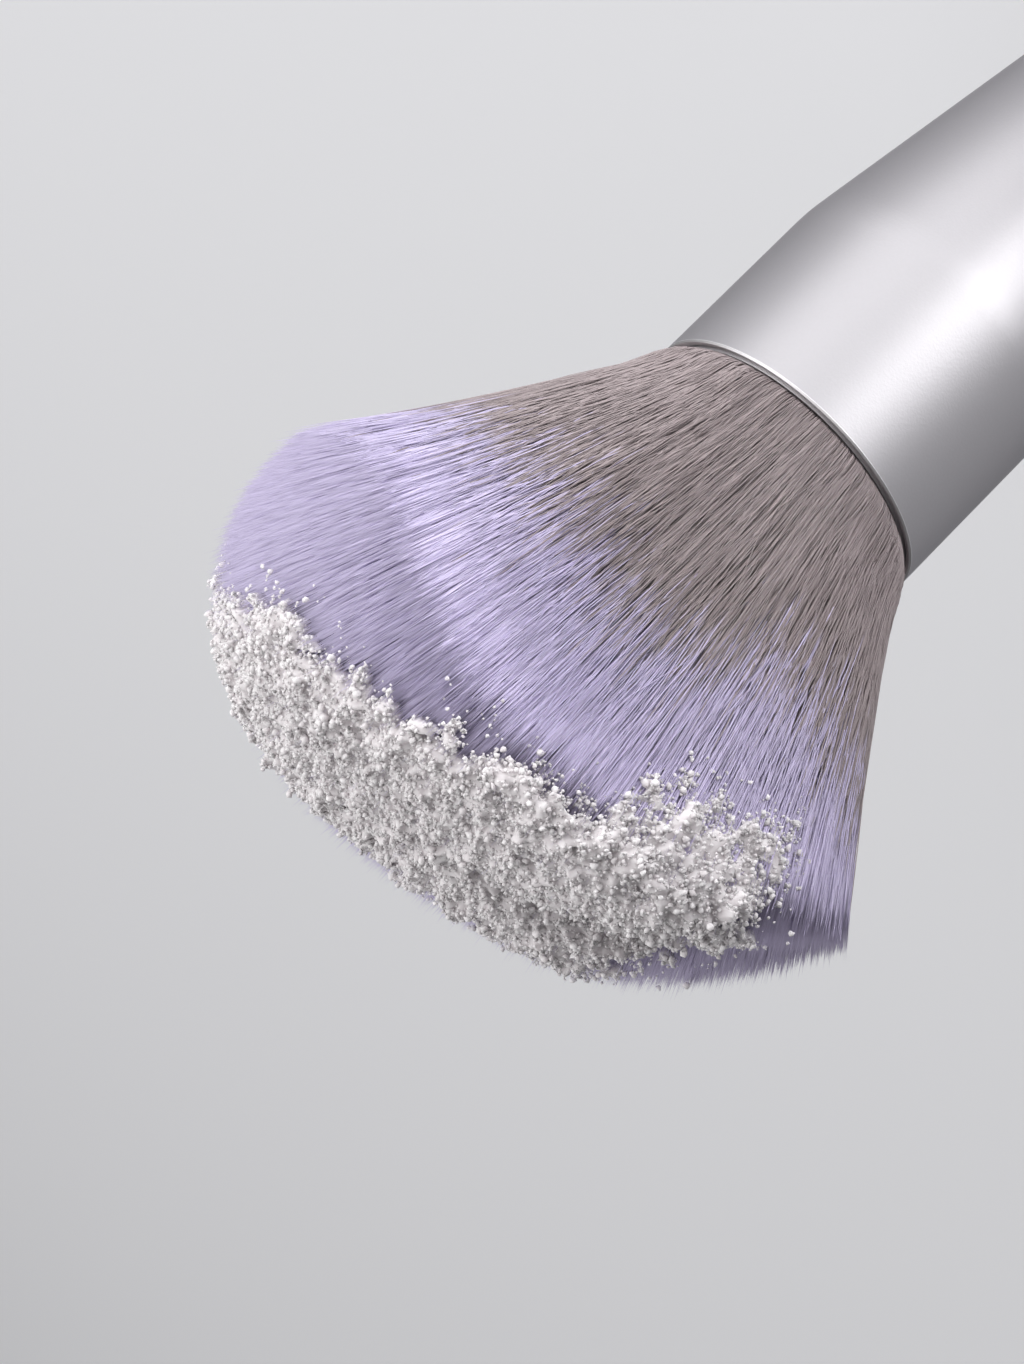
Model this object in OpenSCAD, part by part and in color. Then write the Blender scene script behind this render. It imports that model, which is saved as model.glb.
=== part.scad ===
// Kabuki makeup brush standing on its foot, crown of bristles up.
// Origin: centre of the foot's flat face. +Z runs up the handle's axis.

/* [Handle] */
// Height from the foot to the rim
handle_h = 68; // [60:1:90]
// Diameter of the straight collar under the rim
collar_d = 30; // [27:0.5:36]
// Height of the straight collar, up to the rim
collar_h = 19.5; // [18:0.5:24]
// Diameter at the foot, where the taper starts
foot_d = 17.8; // [16:0.2:20]
// Radius that blends the taper into the collar
blend_r = 25; // [10:1:40]
// Wall of the drawn shell
shell_wall = 0.7; // [0.5:0.05:0.9]
// Outer chamfer of the shell's rim
rim_chamfer = 0.15; // [0.05:0.01:0.2]
// Inner bevel of the shell's rim
rim_bevel = 0.2; // [0.1:0.01:0.25]

/* [Foot cap] */
// Thickness of the cap's flange
cap_h = 2; // [1.5:0.1:3]
// Height of the spigot that stands in the shell
spigot_h = 4; // [3:0.5:6]
// Radius that rounds the cap's lower edge
cap_round = 1.1; // [0.5:0.1:1.4]

/* [Weight] */
// Diameter of the balance weight
weight_d = 11; // [9:0.5:12]
// Length of the balance weight
weight_h = 16; // [10:1:20]
// Chamfer on the weight's edges
weight_chamfer = 0.6; // [0.3:0.1:1]

/* [Core] */
// Wall of the core's socket, stem and platform
core_wall = 1.6; // [1.2:0.1:2]
// Outer diameter of the core's stem
stem_d = 8; // [7:0.5:10]
// Number of ribs that centre the core in the shell
rib_count = 6; // [4:1:8]
// Thickness of each rib
rib_w = 1.4; // [1:0.1:2]

/* [Ferrule] */
// Depth of the ferrule, from its lip to its underside
ferrule_h = 16; // [13:0.5:16.5]
// Wall of the ferrule
ferrule_wall = 0.4; // [0.3:0.05:0.5]
// How far the ferrule's lip stands above the shell's rim
ferrule_proud = 0.15; // [0:0.05:0.4]
// Outer radius of the ferrule's lower corner
ferrule_round = 1.5; // [1:0.1:2]
// Depth of the rolled bead that locks the resin in
bead_depth = 0.5; // [0.3:0.05:0.6]

/* [Bundle foot] */
// Depth of resin under the bundle
resin_h = 5; // [4:0.5:6]
// How far the bundle's foot is set in the resin
root_set = 1.5; // [1:0.1:2.5]
// Diameter of the binding cord
cord_d = 0.7; // [0.5:0.05:0.8]
// Turns of the binding cord
cord_turns = 4; // [3:1:5]

/* [Bristles] */
// Number of strands
strand_count = 360; // [300:10:400]
// Half the width of the head, towards +X
half_right = 32.2; // [28:0.1:36]
// Half the width of the head, towards -X
half_left = 33.7; // [28:0.1:36]
// Depth of the head from front to back, where it is pressed flat
head_depth = 41.2; // [38:0.2:64]
// Height of the crown above the rim, on the axis
head_h = 48.8; // [46:0.2:58]
// Rise of the crown towards +X, for each mm from the axis
crown_lean = 0.166; // [0:0.002:0.2]
// Height of the crown's edge above the rim, at +X
edge_right = 31.3; // [26:0.1:38]
// Height of the crown's edge above the rim, at -X
edge_left = 28.7; // [24:0.1:36]
// Height of the crown's edge above the rim, at the front and back
edge_front = 45; // [36:0.2:45.4]
// Roundness of the crown's edge at +X: 1 is a cone, 2 a dome, and more a squarer shoulder
round_right = 2.45; // [1.5:0.05:3]
// Roundness of the crown's edge at -X
round_left = 1.2; // [1.2:0.05:3]
// Roundness of the crown's edge at the front and back
round_front = 4; // [2:0.1:5]
// How soon the edge comes down to its height at +X, going round from the front
bend_right = 2; // [0.5:0.05:2.4]
// How soon the edge comes down to its height at -X
bend_left = 0.75; // [0.5:0.05:2.4]
// Width of a strand where it leaves the rim
strand_root_d = 1; // [0.6:0.05:1.1]
// Width of a strand at its thickest, from side to side, just below its point
strand_tip_w = 2.8; // [1.2:0.1:2.9]
// Width of a strand at its thickest, from front to back
strand_tip_d = 1.8; // [1.2:0.1:1.9]
// How much shorter the shortest strands are than their neighbours
stagger = 1; // [0:0.1:2]

/* [Clearances] */
// Radial gap between the shell and what is glued into it
shell_fit = 0.05; // [0.03:0.01:0.1]
// Radial gap between the core and the shell
core_fit = 0.1; // [0.05:0.01:0.2]
// Radial gap round the weight
weight_fit = 0.05; // [0.03:0.01:0.1]
// Gap above the weight
weight_top_gap = 0.3; // [0.1:0.1:0.5]
// Gap between the binding cord and the ferrule
cord_gap = 0.2; // [0.1:0.05:0.4]
// Gap between the outer strands and the ferrule's lip
lip_gap = 0.2; // [0.1:0.05:0.5]

/* [Hidden] */
$fn = 96;

satin_silver = [0.80, 0.80, 0.82];
bright_silver = [0.72, 0.72, 0.74];
zinc_grey = [0.42, 0.43, 0.45];
moulded_grey = [0.30, 0.30, 0.32];
amber_resin = [0.72, 0.62, 0.42];
thread_white = [0.86, 0.84, 0.80];
taupe = [0.60, 0.55, 0.56];
lavender = [0.76, 0.72, 0.87];

// Straight steps in a rounded corner or a bead
arc_steps = 6;
// Angle between neighbouring strands, as in a sunflower
golden_angle = 180 * (3 - sqrt(5));
// Along a strand from the rim to its point: where the dye begins and where it is thickest
dye_share = 0.52;
thick_share = 0.92;

// Handle's outline below its collar: the taper, and an arc tangent to it and to the collar
collar_r = collar_d / 2;
foot_r = foot_d / 2;
taper_angle = atan((collar_r - foot_r) / (handle_h - collar_h - cap_h));
blend_top = handle_h - collar_h + blend_r * tan(taper_angle / 2);
blend_arc = [for (i = [0 : arc_steps])
    let (a = taper_angle * (1 - i / arc_steps))
    [collar_r - blend_r * (1 - cos(a)), blend_top - blend_r * sin(a)]];
taper_line = concat([[foot_r, cap_h]], blend_arc);
shell_inner_r = collar_r - shell_wall;

// Levels and radii of what stands inside, from the foot up
core_z = cap_h + spigot_h;
weight_top = core_z + weight_h + weight_top_gap;
ferrule_top = handle_h + ferrule_proud;
ferrule_z = ferrule_top - ferrule_h;
ferrule_r = shell_inner_r - shell_fit;
bore_r = ferrule_r - ferrule_wall;
resin_z = ferrule_z + ferrule_wall;
root_z = resin_z + resin_h;
cord_z = root_z + root_set;
root_top = cord_z + cord_d * cord_turns;
bundle_r = bore_r - cord_gap - cord_d;
// The bead lies midway between the ferrule's corner and the top of the resin
bead_z = (ferrule_z + ferrule_round + cord_z) / 2;

// Radius of the taper at height z
function taper_r(z) = foot_r + (z - cap_h) * tan(taper_angle);
// The handle's outline below its collar, moved inwards by d
function taper_line_in(d) = [for (p = taper_line) [p[0] - d, p[1]]];
// An arc about c with radius r, from angle from to angle to
function arc(c, r, from, to) = [for (i = [0 : arc_steps])
    let (a = from + (to - from) * i / arc_steps) c + r * [cos(a), sin(a)]];
// The ferrule's wall from its corner past the bead, in a line drawn in by d
function ferrule_side(d) = concat(
    arc([ferrule_r - ferrule_round, ferrule_z + ferrule_round], ferrule_round - d, -90, 0),
    [for (i = [0 : arc_steps])
        let (t = i / arc_steps)
        [ferrule_r - d - bead_depth * sin(180 * t), bead_z + bead_depth * (4 * t - 2)]]);
function reversed(points) = [for (i = [len(points) - 1 : -1 : 0]) points[i]];

// Turned cap that closes the foot, with a spigot that is glued into the shell
module foot_cap() {
    spigot_r = foot_r - shell_wall - shell_fit;
    color(bright_silver)
    rotate_extrude()
    polygon(concat([[0, 0]],
        arc([foot_r - cap_round, cap_round], cap_round, -90, 0),
        [[foot_r, cap_h], [spigot_r, cap_h], [spigot_r, core_z], [0, core_z]]));
}

// Steel slug that gives the handle its heft
module balance_weight() {
    r = weight_d / 2;
    c = weight_chamfer;
    color(zinc_grey)
    translate([0, 0, core_z])
    rotate_extrude()
    polygon([[0, 0], [r - c, 0], [r, c], [r, weight_h - c], [r - c, weight_h], [0, weight_h]]);
}

// Room that the shell leaves for the core
module core_room() {
    gap = shell_wall + core_fit;
    rotate_extrude()
    polygon(concat([[0, core_z], [taper_r(core_z) - gap, core_z]],
        [for (p = taper_line_in(gap)) if (p[1] > core_z && p[1] < ferrule_z) p],
        [[collar_r - gap, ferrule_z], [0, ferrule_z]]));
}

// Moulded core: a socket over the weight, a hollow stem with ribs, and a platform for the ferrule
module handle_core() {
    socket_r = weight_d / 2 + weight_fit;
    core_h = ferrule_z - core_z;
    color(moulded_grey)
    difference() {
        intersection() {
            core_room();
            union() {
                translate([0, 0, core_z])
                    cylinder(r = socket_r + core_wall, h = weight_top - core_z + core_wall);
                translate([0, 0, core_z])
                    cylinder(r = stem_d / 2, h = core_h);
                translate([0, 0, ferrule_z - core_wall])
                    cylinder(r = collar_r, h = core_wall);
                for (i = [0 : rib_count - 1])
                    rotate([0, 0, i * 360 / rib_count])
                    translate([0, -rib_w / 2, core_z])
                    cube([collar_r, rib_w, core_h]);
            }
        }
        translate([0, 0, core_z - 1])
            cylinder(r = socket_r, h = weight_top - core_z + 1);
        translate([0, 0, core_z])
            cylinder(r = stem_d / 2 - core_wall, h = core_h + 1);
    }
}

// Drawn shell, one wall from the foot to the rim
module handle_shell() {
    color(satin_silver)
    rotate_extrude()
    polygon(concat(taper_line,
        [[collar_r, handle_h - rim_chamfer], [collar_r - rim_chamfer, handle_h],
         [shell_inner_r + rim_bevel, handle_h], [shell_inner_r, handle_h - rim_bevel]],
        reversed(taper_line_in(shell_wall))));
}

// Deep-drawn cup that holds the bundle, with a bead rolled into its side
module hair_ferrule() {
    color(bright_silver)
    rotate_extrude()
    polygon(concat([[0, ferrule_z]], ferrule_side(0),
        [[ferrule_r, ferrule_top], [bore_r, ferrule_top]],
        reversed(ferrule_side(ferrule_wall)), [[0, resin_z]]));
}

// Cured resin in the ferrule, with a low collar round the bundle's foot
module resin_plug() {
    color(amber_resin)
    rotate_extrude()
    polygon(concat([[0, resin_z]], ferrule_side(ferrule_wall),
        [[bore_r, cord_z], [bundle_r, cord_z], [bundle_r, root_z], [0, root_z]]));
}

// Binding cord round the bundle's foot: turns that touch, plain because the ferrule hides them
module binding_cord() {
    r = cord_d / 2;
    color(thread_white)
    rotate_extrude()
    polygon(concat([[bundle_r, cord_z]],
        [for (turn = [0 : cord_turns - 1])
            each arc([bundle_r + r, cord_z + r + turn * cord_d], r, -90, 90)],
        [[bundle_r, root_top]]));
}

// A size that goes smoothly from left, at -X, to right, at +X, for a direction a round the head
function round_to(left, right, a) = left + (right - left) * (1 + cos(a)) / 2;
// Height of the crown's edge above the rim in direction a: low at the sides, high at front and back
function edge_h(a) =
    let (low = round_to(edge_left, edge_right, a))
    low + (edge_front - low) * pow(pow(sin(a), 2), round_to(bend_left, bend_right, a));
// Place on the crown in direction a, share of the way from the middle (0) to the edge (1)
function crown_point(share, a) =
    let (x = round_to(half_left, half_right, a) * share * cos(a),
         y = head_depth / 2 * share * sin(a),
         n = round_to(round_left, round_right, a) * pow(cos(a), 2) + round_front * pow(sin(a), 2),
         edge = edge_h(a),
         ridge = head_h + crown_lean * x)
    [x, y, edge + (ridge - edge) * pow(1 - pow(share, n), 1 / n)];
// A repeatable draw from 0 to 1 for strand i
function draw(i) = let (s = 4.3 * i + 0.37 * sin(97 * i)) s - floor(s);

// Line of strand i as [x, y, z]: foot, rim, start of the dye, thickest place and point
function strand_line(i) =
    let (share = sqrt((i + 0.5) / strand_count),
         a = golden_angle * i,
         around = share * [cos(a), sin(a), 0],
         rim = (bore_r - lip_gap - strand_root_d / 2) * around + [0, 0, handle_h],
         tip = crown_point(share, a) + [0, 0, handle_h - stagger * draw(i)])
    concat([(bundle_r - strand_root_d / 2) * around + [0, 0, root_top - root_set]],
        [for (t = [0, dye_share, thick_share, 1]) rim + (tip - rim) * t]);

// A strand's three-sided section of width w and depth d, about the place p, turned by an angle
function section(p, w, d, angle) = [for (k = [0 : 2])
    p + [w / 2 * cos(angle + 120 * k), d / 2 * sin(angle + 120 * k), 0]];

// A length of strand through its sections, with a flat end or a point
module strand_length(sections, point = []) {
    top = 3 * (len(sections) - 1);
    foot_face = [[0, 1, 2]];
    sides = [for (s = [0 : 3 : top - 3], k = [0 : 2])
        let (a = s + k, b = s + (k + 1) % 3) each [[a, b + 3, b], [a, a + 3, b + 3]]];
    ends = len(point) == 0 ? [[top, top + 2, top + 1]]
        : [for (k = [0 : 2]) [top + k, top + 3, top + (k + 1) % 3]];
    polyhedron(points = concat([for (s = sections) each s], point),
        faces = concat(foot_face, sides, ends));
}

// Strand i below the dye, from inside the bundle's foot
module strand_root(i) {
    p = strand_line(i);
    a = golden_angle * i;
    strand_length([section(p[0], strand_root_d, strand_root_d, a),
        section(p[1], strand_root_d, strand_root_d, a), section(p[2], dye_w, dye_d, a)]);
}

// Strand i above the start of the dye, up to its point
module strand_tip(i) {
    p = strand_line(i);
    a = golden_angle * i;
    strand_length([section(p[2], dye_w, dye_d, a), section(p[3], strand_tip_w, strand_tip_d, a)],
        [p[4]]);
}
dye_w = (strand_root_d + strand_tip_w) / 2;
dye_d = (strand_root_d + strand_tip_d) / 2;

// The bundle: its tied foot and the strands that fan out of it, dyed from halfway up
module bristle_bundle() {
    color(taupe) {
        translate([0, 0, root_z])
            cylinder(r = bundle_r, h = root_top - root_z);
        for (i = [0 : strand_count - 1])
            strand_root(i);
    }
    color(lavender)
    for (i = [0 : strand_count - 1])
        strand_tip(i);
}

foot_cap();
balance_weight();
handle_core();
handle_shell();
hair_ferrule();
resin_plug();
binding_cord();
bristle_bundle();
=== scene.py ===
# %% [markdown]
# # A kabuki makeup brush
# The brush stands on its foot, with its head up. The metal handle comes from the CAD part, and this lesson
# gives it a satin aluminium finish. The head of the CAD part is a bundle of a few hundred thick strands, so
# here it is replaced by many thousands of fine fibres that follow the same form.

# %% The frame
import bpy
import numpy as np
from mathutils import Matrix


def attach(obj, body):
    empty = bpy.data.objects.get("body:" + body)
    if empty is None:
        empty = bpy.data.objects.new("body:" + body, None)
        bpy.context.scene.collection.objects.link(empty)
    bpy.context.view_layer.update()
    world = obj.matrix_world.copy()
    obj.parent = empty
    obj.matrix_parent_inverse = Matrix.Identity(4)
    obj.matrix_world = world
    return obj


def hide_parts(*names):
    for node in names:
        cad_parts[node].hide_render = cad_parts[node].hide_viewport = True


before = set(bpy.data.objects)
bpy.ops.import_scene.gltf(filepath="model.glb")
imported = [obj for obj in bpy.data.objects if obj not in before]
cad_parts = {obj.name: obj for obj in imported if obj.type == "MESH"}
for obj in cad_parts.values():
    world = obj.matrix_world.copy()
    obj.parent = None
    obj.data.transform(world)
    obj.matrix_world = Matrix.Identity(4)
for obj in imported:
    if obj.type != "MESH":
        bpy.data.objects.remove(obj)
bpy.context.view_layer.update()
rng = np.random.default_rng(12)
MM = 0.001
print("nodes in the frame:", sorted(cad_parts))

# %% [markdown]
# ## Camera
# The camera looks down at about 20 degrees and is turned about its own axis, so that the handle of the
# upright brush runs to the upper corner. A turned camera is simplest to give as its three directions. A lens
# of 121 mm on a 36 mm sensor shows the small angle that such a close portrait has.

# %% Camera
CAMERA_AT = np.array([3.52, -381.5, 235.49]) * MM
LENS = 121.4
right = np.array([-0.7053, -0.2361, -0.6685])
up = np.array([0.7090, -0.2349, -0.6650])
camera_data = bpy.data.cameras.new("camera")
camera_data.lens = LENS
camera_data.sensor_width = 36
camera_data.sensor_fit = "AUTO"
camera = bpy.data.objects.new("camera", camera_data)
bpy.context.scene.collection.objects.link(camera)
back = np.cross(right, up)
turn = np.eye(4)
turn[:3, 0], turn[:3, 1], turn[:3, 2] = right, up, back
turn[:3, :3] = np.linalg.svd(turn[:3, :3])[0] @ np.linalg.svd(turn[:3, :3])[2]
turn[:3, 3] = CAMERA_AT
camera.matrix_world = Matrix(turn.tolist())
bpy.context.scene.camera = camera
print("camera at", CAMERA_AT)

# %% [markdown]
# ## A mesh from arrays
# Every new piece is a set of points and faces worked out with numpy. This helper puts them into a mesh,
# keeps a place on each corner as a UV map where the finish needs one, and shades the faces smoothly.

# %% A mesh from arrays
def make_piece(name, points, faces, uv=None, material=None, smooth=True):
    """Builds a mesh: points (n, 3) in metres, faces (m, k) with the same k, uv one pair for each point."""
    mesh = bpy.data.meshes.new(name)
    count, sides = faces.shape
    mesh.vertices.add(len(points))
    mesh.vertices.foreach_set("co", points.astype(np.float32).ravel())
    mesh.loops.add(count * sides)
    mesh.loops.foreach_set("vertex_index", faces.astype(np.int32).ravel())
    mesh.polygons.add(count)
    mesh.polygons.foreach_set("loop_start", np.arange(0, count * sides, sides, dtype=np.int32))
    mesh.polygons.foreach_set("use_smooth", np.full(count, smooth))
    if uv is not None:
        layer = mesh.uv_layers.new(name="OFBake")
        layer.data.foreach_set("uv", uv[faces.ravel()].astype(np.float32).ravel())
    mesh.update(calc_edges=True)
    mesh.validate()
    piece = bpy.data.objects.new(name, mesh)
    bpy.context.scene.collection.objects.link(piece)
    if material is not None:
        mesh.materials.append(material)
    return piece

# %% [markdown]
# ## Colours and node helpers
# Colours are read off as screen values and changed to the linear values that a shader works with.

# %% Colours and node helpers
def linear(r, g, b):
    """Screen colour 0 to 255 to linear: ((c + 0.055) / 1.055) ** 2.4 above 0.04045, else c / 12.92."""
    c = np.array([r, g, b]) / 255
    c = np.where(c > 0.04045, ((c + 0.055) / 1.055) ** 2.4, c / 12.92)
    return (*c.tolist(), 1.0)

def new_material(name):
    """An empty material with its Principled shader; returns both and the node tree."""
    material = bpy.data.materials.new(name)
    material.use_nodes = True
    tree = material.node_tree
    return material, tree, tree.nodes["Principled BSDF"]

def node(tree, kind, **values):
    """Adds a node and sets what is named: plain properties first, and sockets by their name."""
    made = tree.nodes.new(kind)
    for key, value in values.items():
        if hasattr(made, key):
            setattr(made, key, value)
        else:
            made.inputs[key.replace("_", " ")].default_value = value
    return made

# %% [markdown]
# ## Floor and light
# The brush stands on a plain pale floor. In the photograph the light is broad and soft and comes from one
# side, so the metal and the hair are bright there and fall off to the other side. A large panel does that.
# Seen from above, an upright metal tube mirrors the floor before it. So the bright streak on the handle
# comes from two low cards of light that lie on the floor.

# %% Floor and light
floor_material, tree, shader = new_material("floor_paper")
shader.inputs["Base Color"].default_value = linear(232, 232, 235)
shader.inputs["Roughness"].default_value = 0.8
FLOOR_HALF = 3.0
floor_corners = FLOOR_HALF * np.array([[-1, -1, 0], [1, -1, 0], [1, 1, 0], [-1, 1, 0]])
floor = make_piece("floor", floor_corners, np.array([[0, 1, 2, 3]]), material=floor_material, smooth=False)

world = bpy.data.worlds.new("studio")
bpy.context.scene.world = world
world.use_nodes = True
world.node_tree.nodes["Background"].inputs["Color"].default_value = linear(240, 240, 240)
world.node_tree.nodes["Background"].inputs["Strength"].default_value = 0.13

def softbox(name, at, aim, width, height, watts, upright=(0, 0, 1)):
    """An area lamp of this width and height in metres, turned to shine at aim. It isn't seen itself."""
    data = bpy.data.lights.new(name, "AREA")
    data.shape = "RECTANGLE"
    data.size = width
    data.size_y = height
    data.energy = watts
    lamp = bpy.data.objects.new(name, data)
    away = np.array(at) - np.array(aim)
    away = away / np.linalg.norm(away)
    side = np.cross(upright, away)
    side = side / np.linalg.norm(side)
    m = np.eye(4)
    m[:3, 0], m[:3, 1], m[:3, 2], m[:3, 3] = side, np.cross(away, side), away, at
    lamp.matrix_world = Matrix(m.tolist())
    lamp.visible_camera = False
    bpy.context.scene.collection.objects.link(lamp)

CARD_HEIGHT = 0.002

def floor_card(name, x, y, width, length, watts):
    """A lamp that lies on the floor at x, y in metres and shines straight up; length runs along y."""
    softbox(name, (x, y, CARD_HEIGHT), (x, y, 1.0), width, length, watts, upright=(0, 1, 0))

softbox("side_panel", (0.66, -0.46, 0.36), (0, 0, 0.08), 0.95, 0.80, 7.5)
softbox("front_panel", (0.10, -0.80, 0.40), (0, 0, 0.08), 0.50, 0.40, 0.7)
softbox("top_panel", (0.40, 0.10, 1.20), (0, 0.1, 0.0), 1.2, 1.2, 7.8)
softbox("back_panel", (0.0, 1.30, 1.30), (0, 1.2, 0.0), 1.4, 1.0, 6.5)
floor_card("front_card", -0.024, -0.145, 0.060, 0.19, 0.138)
floor_card("side_card", 0.11, -0.100, 0.19, 0.15, 0.105)
bpy.context.scene.view_settings.view_transform = "Standard"
print("floor and six lamps")

# %% [markdown]
# ## Grain
# Drawn and bead-blasted aluminium has a fine even grain. The group gives a small change of roughness and a
# height for a bump, from noise at a size in the object's own coordinates, so it stays on the metal.

# %% Grain
def grain_group():
    """Inputs: Scale per metre, Middle, Amount. Outputs: Roughness around Middle, and Height for a bump."""
    group = bpy.data.node_groups.new("metal_grain", "ShaderNodeTree")
    group.interface.new_socket("Scale", in_out="INPUT", socket_type="NodeSocketFloat")
    group.interface.new_socket("Middle", in_out="INPUT", socket_type="NodeSocketFloat")
    group.interface.new_socket("Amount", in_out="INPUT", socket_type="NodeSocketFloat")
    group.interface.new_socket("Roughness", in_out="OUTPUT", socket_type="NodeSocketFloat")
    group.interface.new_socket("Height", in_out="OUTPUT", socket_type="NodeSocketFloat")
    get = group.nodes.new("NodeGroupInput")
    put = group.nodes.new("NodeGroupOutput")
    place = group.nodes.new("ShaderNodeTexCoord")
    fine = group.nodes.new("ShaderNodeTexNoise")
    fine.inputs["Detail"].default_value = 3
    spread = node(group, "ShaderNodeMath", operation="MULTIPLY_ADD")
    centre = node(group, "ShaderNodeMath", operation="SUBTRACT")
    centre.inputs[1].default_value = 0.5
    group.links.new(place.outputs["Object"], fine.inputs["Vector"])
    group.links.new(get.outputs["Scale"], fine.inputs["Scale"])
    group.links.new(fine.outputs["Fac"], centre.inputs[0])
    group.links.new(centre.outputs[0], spread.inputs[0])
    group.links.new(get.outputs["Amount"], spread.inputs[1])
    group.links.new(get.outputs["Middle"], spread.inputs[2])
    group.links.new(spread.outputs[0], put.inputs["Roughness"])
    group.links.new(fine.outputs["Fac"], put.inputs["Height"])
    return group

metal_grain = grain_group()
GRAIN_PER_METRE = 4000
ROUGHNESS_SPREAD = 0.1
GRAIN_DEPTH = 0.05 * MM
EDGE_TINT = linear(170, 170, 172)
MOULD_DEPTH = 0.1 * MM

def metal(name, colour, middle, bump):
    """Satin metal: Metallic 1, with roughness and bump from the grain group, and a darker edge tint."""
    material, tree, shader = new_material(name)
    shader.inputs["Base Color"].default_value = colour
    shader.inputs["Metallic"].default_value = 1.0
    shader.inputs["Specular Tint"].default_value = EDGE_TINT
    grain = tree.nodes.new("ShaderNodeGroup")
    grain.node_tree = metal_grain
    grain.inputs["Scale"].default_value = GRAIN_PER_METRE
    grain.inputs["Middle"].default_value = middle
    grain.inputs["Amount"].default_value = ROUGHNESS_SPREAD
    lift = node(tree, "ShaderNodeBump", Strength=bump, Distance=GRAIN_DEPTH)
    tree.links.new(grain.outputs["Roughness"], shader.inputs["Roughness"])
    tree.links.new(grain.outputs["Height"], lift.inputs["Height"])
    tree.links.new(lift.outputs["Normal"], shader.inputs["Normal"])
    return material

def painted_lip_highlight(material, colour, start, width):
    """A painted highlight: a brighter base colour that begins at this height in mm, for the thin bright line
    that light draws along the lip.
    """
    tree = material.node_tree
    place = tree.nodes.new("ShaderNodeTexCoord")
    split = tree.nodes.new("ShaderNodeSeparateXYZ")
    step = tree.nodes.new("ShaderNodeMapRange")
    step.inputs["From Min"].default_value = start * MM
    step.inputs["From Max"].default_value = (start + width) * MM
    blend = node(tree, "ShaderNodeMix", data_type="RGBA")
    shader = tree.nodes["Principled BSDF"]
    blend.inputs["A"].default_value = shader.inputs["Base Color"].default_value
    blend.inputs["B"].default_value = colour
    tree.links.new(place.outputs["Object"], split.inputs[0])
    tree.links.new(split.outputs["Z"], step.inputs["Value"])
    tree.links.new(step.outputs["Result"], blend.inputs["Factor"])
    tree.links.new(blend.outputs["Result"], shader.inputs["Base Color"])
    return material

def moulded(name, colour_a, colour_b, size, roughness, bump):
    """Non-metal finish: two colours mixed by noise, whose features are size millimetres, and a low bump."""
    material, tree, shader = new_material(name)
    place = tree.nodes.new("ShaderNodeTexCoord")
    cloud = node(tree, "ShaderNodeTexNoise", Scale=1000 / size, Detail=3)
    blend = node(tree, "ShaderNodeMix", data_type="RGBA")
    blend.inputs["A"].default_value = colour_a
    blend.inputs["B"].default_value = colour_b
    lift = node(tree, "ShaderNodeBump", Strength=bump, Distance=MOULD_DEPTH)
    tree.links.new(place.outputs["Object"], cloud.inputs["Vector"])
    tree.links.new(cloud.outputs["Fac"], blend.inputs["Factor"])
    tree.links.new(blend.outputs["Result"], shader.inputs["Base Color"])
    tree.links.new(cloud.outputs["Fac"], lift.inputs["Height"])
    tree.links.new(lift.outputs["Normal"], shader.inputs["Normal"])
    shader.inputs["Roughness"].default_value = roughness
    return material

def finish_node(name, material):
    """Puts a material on every slot of a CAD node."""
    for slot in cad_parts[name].material_slots:
        slot.material = material

# Painted highlight: from 67.75 mm up, the top of the shell has a brighter base colour for the bright line of
# light along its lip.
LIP_HIGHLIGHT_START, LIP_HIGHLIGHT_WIDTH = 67.75, 0.1
shell_metal = metal("satin_aluminium", linear(178, 176, 179), 0.47, 0.2)
finish_node("handle_shell", painted_lip_highlight(shell_metal, linear(228, 226, 228), LIP_HIGHLIGHT_START, LIP_HIGHLIGHT_WIDTH))
finish_node("hair_ferrule", metal("ferrule_aluminium", linear(218, 216, 218), 0.45, 0.15))
finish_node("foot_cap", metal("foot_aluminium", linear(172, 170, 173), 0.38, 0.2))
finish_node("balance_weight", metal("weight_steel", linear(150, 150, 154), 0.35, 0.2))
finish_node("handle_core",
            moulded("moulded_plastic", linear(142, 142, 147), linear(156, 156, 160), 0.6, 0.55, 0.3))
finish_node("resin_plug",
            moulded("cured_resin", linear(205, 183, 138), linear(221, 202, 160), 4.0, 0.25, 0.1))
finish_node("binding_cord",
            moulded("waxed_thread", linear(214, 209, 198), linear(238, 234, 226), 0.3, 0.7, 0.5))
print("finishes on seven nodes")

# %% [markdown]
# ## Form of the head
# The hair is flattened: wide from side to side and thin from front to back. Each fibre has a share, from 0
# in the middle to 1 at the outside, and a turn round the brush. Its foot stands in the rim and its tip on
# the crown, at a height that falls from the middle to the edge as a rounded curve.

# %% Form of the head
RIM_Z = 68.0
RIM_R = 13.8
HALF_RIGHT, HALF_LEFT, HALF_DEEP = 32.2, 33.7, 20.6
TOP, LEAN = 48.8, 0.166
EDGE_RIGHT, EDGE_LEFT, EDGE_FRONT = 31.3, 28.7, 45.0
ROUND_RIGHT, ROUND_LEFT, ROUND_FRONT = 2.45, 1.2, 4.0
BEND_RIGHT, BEND_LEFT = 2.0, 0.75
FLARE_FOOT, FLARE_TIP = 1.03, 1.11
INNER_REACH = 0.4

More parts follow.
